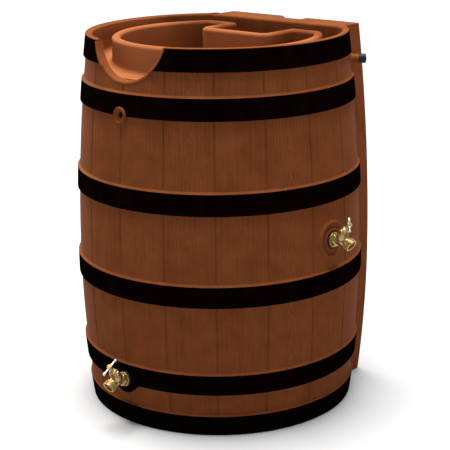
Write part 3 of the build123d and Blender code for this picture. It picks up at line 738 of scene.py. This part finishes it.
def spigot_body(prefix, place):
    body = casting(prefix + "body_casting")
    flange = round_profile([(0.0085, 0.0030, 0), (0.0155, 0.0030, 0.0004), (0.0155, 0.0055, 0.0008),
                            (0.0085, 0.0055, 0)])
    collar = round_profile([(0.0070, 0.0118, 0), (0.0104, 0.0118, 0.0004), (0.0104, 0.0138, 0.0006),
                            (0.0070, 0.0138, 0)])
    mouth = [(0.01345, 0.0278), (0.01335, 0.0286), (0.0128, 0.0290), (0.0112, 0.0290), (0.0106, 0.0286),
             (0.0105, 0.0280), (0.0105, 0.0240), (0.0070, 0.0238), (0.0070, 0.0150), (0.0112, 0.0158),
             (0.0120, 0.0162), (0.0122, 0.0168)]
    shank = [(0.0127, -0.0020), (0.0130, -0.0015), (0.0130, 0.0032), (0.0080, 0.0032),
             (0.0080, -0.0300), (0.0122, -0.0300)]
    ring = round_profile([(0.0085, 0.0104, 0), (0.0103, 0.0104, 0.0004), (0.0103, 0.0130, 0.0004),
                          (0.0085, 0.0130, 0)])
    parts = [
        lathe("flange", flange, 56, INLET, closed=True, smooth_angle=45),
        prism("hex", 0.0250, 0.0055, 0.0120, 0.0012, INLET, bore=0.0070, twist=math.pi / 6),
        lathe("collar", collar, 48, INLET, closed=True, smooth_angle=45),
        threaded("outlet", 0.01345, 0.0121, 0.0172, 0.0274, 0.00221, mouth, OUTLET),
        threaded("shank", 0.0133, 0.0122, -0.0295, -0.0030, 0.00181, shank, INLET),
        lathe("neck_ring", ring, 48, STEM, closed=True, smooth_angle=45),
    ]
    join(body, parts)
    return finish_piece(body, place, "barrel", prefix + "body", "brass", 45)


def finish_piece(obj, place, body, node, slot, angle=40):
    """Puts a piece where its spigot is, on its body and in its node's stead."""
    obj.data.transform(place)
    obj.name = node + "_skin"
    tidy_normals(obj, angle)
    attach(obj, body)
    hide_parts(node)
    set_material(obj, MATERIALS[slot])
    return obj


def spigot_fittings(prefix, place):
    """Bonnet and packing nut, which stand still on the body."""
    bonnet = prism("bonnet", 0.0185, 0.0130, 0.0170, 0.0007, STEM, bore=0.0051)
    tube = [(0.0052, 0.0168), (0.0064, 0.0168), (0.0064, 0.0212), (0.0052, 0.0212)]
    gland = lathe("gland", tube, 40, STEM, closed=True)
    sleeve = [(0.00505, 0.0060), (0.0080, 0.0060), (0.0080, 0.0132), (0.00505, 0.0132)]
    plug = lathe("plug", sleeve, 40, STEM, closed=True)
    join(bonnet, [gland, plug])
    finish_piece(bonnet, place, "barrel", prefix + "bonnet", "brass", 28)
    nut = prism("nut", 0.0150, 0.0173, 0.0222, 0.0006, STEM, bore=0.0065, twist=math.radians(14))
    top = round_profile([(0.0038, 0.0214, 0), (0.0074, 0.0214, 0.0003), (0.0074, 0.0232, 0.0009),
                         (0.0058, 0.0240, 0.0005), (0.0038, 0.0240, 0)])
    join(nut, [lathe("nut_top", top, 40, STEM, closed=True, smooth_angle=45)])
    finish_piece(nut, place, "barrel", prefix + "packing_nut", "brass", 28)


def spigot_handle(prefix, place, turn, body):
    """Hub and T-bar, which turn with the stem."""
    frame_here = place @ STEM @ Matrix.Rotation(turn, 4, "Z")
    outside = round_profile([(0.0028, 0.0285, 0), (0.0050, 0.0285, 0.0005), (0.0056, 0.0305, 0.0008),
                             (0.0048, 0.0318, 0.0008), (0.0056, 0.0330, 0.0006),
                             (0.0056, 0.0385, 0.0012), (0.0, 0.0385, 0)])
    hub = close_lathe(lathe("hub", outside, 44, None, smooth_angle=50))
    socket = lathe("socket", [(0, 0.0280), (0.0028, 0.0280), (0.0028, 0.0315), (0, 0.0315)], 32)
    boolean(hub, socket)
    across = Matrix.Translation((0, 0, 0.0342)) @ Matrix.Rotation(math.pi / 2, 4, "X")
    rod = lathe("cutter", [(0, -0.01), (0.0023, -0.01), (0.0023, 0.01), (0, 0.01)], 32, across)
    boolean(hub, rod)
    screw_hole = lathe("cutter", [(0, 0), (0.0015, 0), (0.0015, 0.008), (0, 0.008)], 24,
                       Matrix.Translation((0.0026, 0, 0.0305)) @ Matrix.Rotation(math.pi / 2, 4, "Y"))
    boolean(hub, screw_hole)
    finish_piece(hub, frame_here, body, prefix + "handle_hub", "brass", 40)
    half = 0.0225
    bar = [(0, -half), (0.0016, -half), (0.0027, -half + 0.0006), (0.0031, -half + 0.0022),
           (0.0030, -half + 0.0040), (0.0024, -half + 0.0062), (0.0022, -half + 0.0090),
           (0.0022, -0.0062), (0.0023, -0.0056), (0.0023, 0.0)]
    bar += [(r, -z) for r, z in reversed(bar[:-1])]
    piece = lathe("bar", bar, 36, across, smooth_angle=60)
    finish_piece(piece, frame_here, body, prefix + "handle_bar", "steel", 60)


def close_lathe(obj):
    """Caps the open ring that a lathe leaves where its profile starts off the axis."""
    work = bmesh.new()
    work.from_mesh(obj.data)
    edges = [e for e in work.edges if e.is_boundary]
    if edges:
        bmesh.ops.holes_fill(work, edges=edges)
    work.to_mesh(obj.data)
    work.free()
    return obj


def port_cap_skin():
    """Push-on vinyl cap: a rolled mouth, a soft shoulder and a shallow dimple in its end."""
    start = hoop_radius(PORT_Z) - RELIEF + 0.0213
    profile = [(0.00855, 0.0), (0.0101, 0.0), (0.0106, 0.0003), (0.01075, 0.0010), (0.0106, 0.0018),
               (0.0102, 0.0022), (0.0102, 0.0126), (0.0099, 0.0142), (0.0092, 0.0151), (0.0080, 0.0155),
               (0.0052, 0.0155), (0.0046, 0.0151), (0.0, 0.0150)]
    inside_wall = [(0.0, 0.0138), (0.00855, 0.0138)]
    cap = lathe("port_cap", inside_wall + profile, 56, None, smooth_angle=40)
    cap.data.transform(front_matrix(start, PORT_Z, PORT_ANGLE))
    cap.name = "port_cap_skin"
    tidy_normals(cap, 40)
    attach(cap, "port_cap")
    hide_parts("port_cap")
    set_material(cap, MATERIALS["cap"])


def build_spigots():
    for prefix, place, turn, body in (("lower_spigot_", LOWER_PLACE, 0.0, "lower_stem"),
                                      ("side_spigot_", SIDE_PLACE, math.radians(-47), "side_stem")):
        spigot_body(prefix, place)
        spigot_fittings(prefix, place)
        spigot_handle(prefix, place, turn, body)


# ---- Materials -----------------------------------------------------------------------------------
class Paint:
    """A material's node tree with short helpers to wire it."""

    def __init__(self, name, color, roughness, metallic=0.0, specular=0.5):
        self.material = bpy.data.materials.new(name)
        self.material.use_nodes = True
        self.nodes, self.links = self.material.node_tree.nodes, self.material.node_tree.links
        self.shader = self.nodes["Principled BSDF"]
        self.shader.inputs["Base Color"].default_value = (*color, 1)
        self.shader.inputs["Roughness"].default_value = roughness
        self.shader.inputs["Metallic"].default_value = metallic
        self.shader.inputs["Specular IOR Level"].default_value = specular

    def put(self, socket, value):
        if hasattr(value, "is_linked"):
            self.links.new(value, socket)
        else:
            socket.default_value = value

    def math(self, operation, *values):
        node = self.nodes.new("ShaderNodeMath")
        node.operation = operation
        for socket, value in zip(node.inputs, values):
            self.put(socket, value)
        return node.outputs[0]

    def place(self):
        coordinates = self.nodes.new("ShaderNodeTexCoord")
        split = self.nodes.new("ShaderNodeSeparateXYZ")
        self.links.new(coordinates.outputs["Object"], split.inputs[0])
        return split.outputs

    def vector(self, x, y, z):
        node = self.nodes.new("ShaderNodeCombineXYZ")
        for socket, value in zip(node.inputs, (x, y, z)):
            self.put(socket, value)
        return node.outputs[0]

    def noise(self, vector, scale, detail=3.0, rough=0.55):
        node = self.nodes.new("ShaderNodeTexNoise")
        node.inputs["Scale"].default_value = scale
        node.inputs["Detail"].default_value = detail
        node.inputs["Roughness"].default_value = rough
        if vector is not None:
            self.links.new(vector, node.inputs["Vector"])
        return node.outputs["Fac"]

    def ramp(self, value, low, high, to_low=0.0, to_high=1.0):
        node = self.nodes.new("ShaderNodeMapRange")
        node.clamp = True
        for name, number in zip(("From Min", "From Max", "To Min", "To Max"), (low, high, to_low, to_high)):
            node.inputs[name].default_value = number
        self.put(node.inputs["Value"], value)
        return node.outputs["Result"]

    def blend(self, factor, first, second, mode="MIX"):
        node = self.nodes.new("ShaderNodeMix")
        node.data_type, node.blend_type = "RGBA", mode
        self.put(node.inputs["Factor"], factor)
        for name, value in (("A", first), ("B", second)):
            socket = [i for i in node.inputs if i.name == name and i.type == "RGBA"][0]
            self.put(socket, value if hasattr(value, "is_linked") else (*value, 1))
        return [o for o in node.outputs if o.type == "RGBA"][0]

    def facing_up(self):
        """How level the surface is: 1 on a floor or a top edge, 0 on a wall."""
        geometry = self.nodes.new("ShaderNodeNewGeometry")
        split = self.nodes.new("ShaderNodeSeparateXYZ")
        self.links.new(geometry.outputs["True Normal"], split.inputs[0])
        return self.math("ABSOLUTE", split.outputs[2])

    def bump(self, height, distance, strength=1.0):
        node = self.nodes.new("ShaderNodeBump")
        node.inputs["Distance"].default_value = distance
        node.inputs["Strength"].default_value = strength
        self.links.new(height, node.inputs["Height"])
        self.links.new(node.outputs["Normal"], self.shader.inputs["Normal"])


def brown_plastic():
    """Moulded polyethylene with an embossed wood grain that runs up every stave, and painted light inside the
    top recess.
    """
    paint = Paint("brown_polyethylene", (0.15, 0.045, 0.016), 0.48, 0.0, 0.004)
    x, y, z = paint.place()
    azimuth = paint.math("ARCTAN2", x, paint.math("MULTIPLY", y, -1.0))
    turn = paint.math("SUBTRACT", paint.math("DIVIDE", azimuth, STAVE_PITCH), 0.5)
    stave = paint.math("ROUND", turn)
    across = paint.math("MULTIPLY", paint.math("SUBTRACT", turn, stave), BELLY_R * STAVE_PITCH)
    shift = paint.math("MULTIPLY", stave, 3.7)
    wander = paint.noise(paint.vector(across, paint.math("ADD", z, shift), shift), 9.0, 2.0)
    bent = paint.math("ADD", across, paint.math("MULTIPLY", paint.math("SUBTRACT", wander, 0.5), 0.016))
    fine_place = paint.vector(paint.math("MULTIPLY", bent, 560.0), paint.math("MULTIPLY", z, 9.0), shift)
    fine = paint.noise(fine_place, 1.0, 3.0)
    pore_place = paint.vector(paint.math("MULTIPLY", bent, 1300.0), paint.math("MULTIPLY", z, 60.0), shift)
    pores = paint.noise(pore_place, 1.0, 2.0)
    peak = paint.math("SQRT", paint.math("ADD", paint.math("MULTIPLY", bent, bent), 0.00003))
    climb = paint.math("ADD", z, paint.math("MULTIPLY", peak, 6.5))
    climb = paint.math("ADD", climb, paint.math("MULTIPLY", wander, 0.17))
    rings = paint.math("SINE", paint.math("MULTIPLY", climb, 2 * math.pi / 0.046))
    rings = paint.ramp(rings, 0.35, 1.0)
    chosen = paint.noise(paint.vector(shift, paint.math("MULTIPLY", z, 2.2), 4.1), 1.0, 1.0)
    chosen = paint.math("ADD", chosen, paint.math("MULTIPLY", paint.math("COMPARE", stave, 3.0, 0.5), 0.3))
    middle = paint.ramp(paint.math("ABSOLUTE", across), 0.044, 0.030)
    seen = paint.math("MULTIPLY", paint.ramp(chosen, 0.50, 0.66), middle)
    cathedral = paint.math("MULTIPLY", rings, seen)
    mottle = paint.noise(paint.vector(x, y, z), 26.0, 4.0)
    height = paint.math("ADD", paint.math("MULTIPLY", fine, 0.75), paint.math("MULTIPLY", pores, 0.30))
    height = paint.math("ADD", height, paint.math("MULTIPLY", cathedral, 0.35))
    level = paint.ramp(paint.facing_up(), 0.45, 0.80)
    upright = paint.math("SUBTRACT", 1.0, level)
    stipple = paint.noise(paint.vector(x, y, z), 420.0, 3.0)
    height = paint.math("ADD", paint.math("MULTIPLY", height, upright), paint.math("MULTIPLY", stipple, 0.35))
    paint.bump(height, 0.00055, 0.75)
    streak = paint.math("ADD", paint.math("MULTIPLY", fine, upright), paint.math("MULTIPLY", level, 0.5))
    tone = paint.math("ADD", paint.math("MULTIPLY", streak, 0.5), paint.math("MULTIPLY", mottle, 0.5))
    base = paint.blend(paint.ramp(tone, 0.36, 0.64), (0.112, 0.0315, 0.0098), (0.160, 0.0470, 0.0152))
    grained = paint.blend(paint.math("MULTIPLY", cathedral, 0.16), base, (0.25, 0.085, 0.034))
    # Painted light: the trough and planter inside the rim, in front of the inlet, are blended towards a
    # lighter brown in place of the light that falls into the recess.
    reach = paint.math("SQRT", paint.math("ADD", paint.math("MULTIPLY", x, x), paint.math("MULTIPLY", y, y)))
    painted_light_inside = paint.math("MULTIPLY", paint.ramp(reach, 0.2662, 0.2655), paint.ramp(y, 0.110, 0.050))
    painted_light_inside = paint.math("MULTIPLY", painted_light_inside, paint.math("GREATER_THAN", z, PLANTER_Z - 0.004))
    painted_light_color = paint.blend(paint.math("MULTIPLY", painted_light_inside, 0.62), grained, (0.30, 0.100, 0.036))
    paint.links.new(painted_light_color, paint.shader.inputs["Base Color"])
    paint.links.new(paint.ramp(mottle, 0.3, 0.7, 0.44, 0.56), paint.shader.inputs["Roughness"])
    return paint.material


def speckled(name, dark, light, roughness, spread, metallic=0.0, specular=0.5, scale=60.0, depth=0.0001):
    """A colour that drifts between two tones, with a fine surface texture."""
    paint = Paint(name, light, roughness, metallic, specular)
    x, y, z = paint.place()
    drift = paint.noise(paint.vector(x, y, z), scale, 4.0)
    grain = paint.noise(paint.vector(x, y, z), scale * 22, 2.0)
    color = paint.blend(paint.ramp(drift, 0.32, 0.68), dark, light)
    paint.links.new(color, paint.shader.inputs["Base Color"])
    rough = paint.ramp(drift, 0.3, 0.7, roughness - spread, roughness + spread)
    paint.links.new(rough, paint.shader.inputs["Roughness"])
    paint.bump(grain, depth, 0.6)
    return paint.material


def set_material(obj, material):
    obj.data.materials.clear()
    obj.data.materials.append(material)


MATERIALS = {
    "shell": brown_plastic(),
    "facing": speckled("dark_facing", (0.0016, 0.0006, 0.0004), (0.0028, 0.0010, 0.0007),
                       0.66, 0.06, 0, 0.0, 30, 0.00008),
    "brass": speckled("brass", (0.34, 0.225, 0.085), (0.56, 0.40, 0.18), 0.40, 0.06, 1.0, 0.5, 130, 0.00008),
    "steel": speckled("nickel", (0.50, 0.47, 0.38), (0.64, 0.60, 0.50), 0.34, 0.05, 1.0, 0.5, 160, 0.00003),
    "rubber": speckled("black_rubber", (0.010, 0.010, 0.010), (0.022, 0.022, 0.022),
                       0.62, 0.08, 0, 0.3, 200, 0.00006),
    "cap": speckled("black_vinyl", (0.006, 0.006, 0.007), (0.014, 0.014, 0.015),
                    0.50, 0.06, 0, 0.15, 160, 0.00006),
    "screen": speckled("screen_plastic", (0.012, 0.012, 0.012), (0.026, 0.026, 0.026),
                       0.50, 0.06, 0, 0.4, 120, 0.00006),
}

shell = build_shell()
set_material(shell, MATERIALS["shell"])
build_spigots()
port_cap_skin()
for part in frame["record"]["subparts"]:
    set_material(frame["nodes"][part["node"]], MATERIALS[part["material_slot"]])

# ---- Floor, light and camera ---------------------------------------------------------------------
floor = new_object("floor", [(-45, -45, 0), (45, -45, 0), (45, 45, 0), (-45, 45, 0)], [(0, 1, 2, 3)])
PALE_LOW, PALE_HIGH = (0.345, 0.347, 0.350), (0.355, 0.355, 0.357)
set_material(floor, speckled("floor_pale", PALE_LOW, PALE_HIGH, 0.85, 0.02, 0, 0.05, 0.6, 0.0001))


def area_light(name, place, target, size, power, color=(1, 1, 1)):
    light = bpy.data.lights.new(name, "AREA")
    light.shape, light.size, light.energy, light.color = "DISK", size, power, color
    obj = bpy.data.objects.new(name, light)
    obj.location = place
    obj.rotation_euler = (Vector(target) - Vector(place)).to_track_quat("-Z", "Y").to_euler()
    bpy.context.scene.collection.objects.link(obj)


def sun_light(name, direction, strength, angle):
    light = bpy.data.lights.new(name, "SUN")
    light.energy, light.angle = strength, math.radians(angle)
    obj = bpy.data.objects.new(name, light)
    obj.rotation_euler = Vector(direction).to_track_quat("-Z", "Y").to_euler()
    bpy.context.scene.collection.objects.link(obj)


sun_light("overhead", (0.07, -0.02, -1.0), 9.8, 36)
area_light("left_edge", (-2.3, 0.3, 1.1), (-0.2, 0, 0.45), 0.9, 40, (1, 0.80, 0.62))
area_light("right_edge", (2.3, 0.8, 1.2), (0.2, 0.1, 0.45), 0.7, 6, (1, 0.80, 0.62))
area_light("front_fill", (0.8, -3.4, 1.5), (0, 0, 0.4), 1.6, 4)

world = bpy.data.worlds.new("studio")
world.use_nodes = True
world.node_tree.nodes["Background"].inputs["Color"].default_value = (1, 1, 1, 1)
world.node_tree.nodes["Background"].inputs["Strength"].default_value = 0.34
bpy.context.scene.world = world

camera_data = bpy.data.cameras.new("camera")
camera_data.sensor_width = 36
camera_data.lens = 104.5
camera = bpy.data.objects.new("camera", camera_data)
view = Vector((-0.6354, 0.7195, -0.2803))
camera.rotation_mode = "QUATERNION"
camera.rotation_quaternion = view.to_track_quat("-Z", "Y") @ Euler((0, 0, -0.0129)).to_quaternion()
camera.location = (1.8442, -2.0711, 1.1803)
bpy.context.scene.collection.objects.link(camera)
bpy.context.scene.camera = camera
bpy.context.scene.view_settings.view_transform = "Standard"
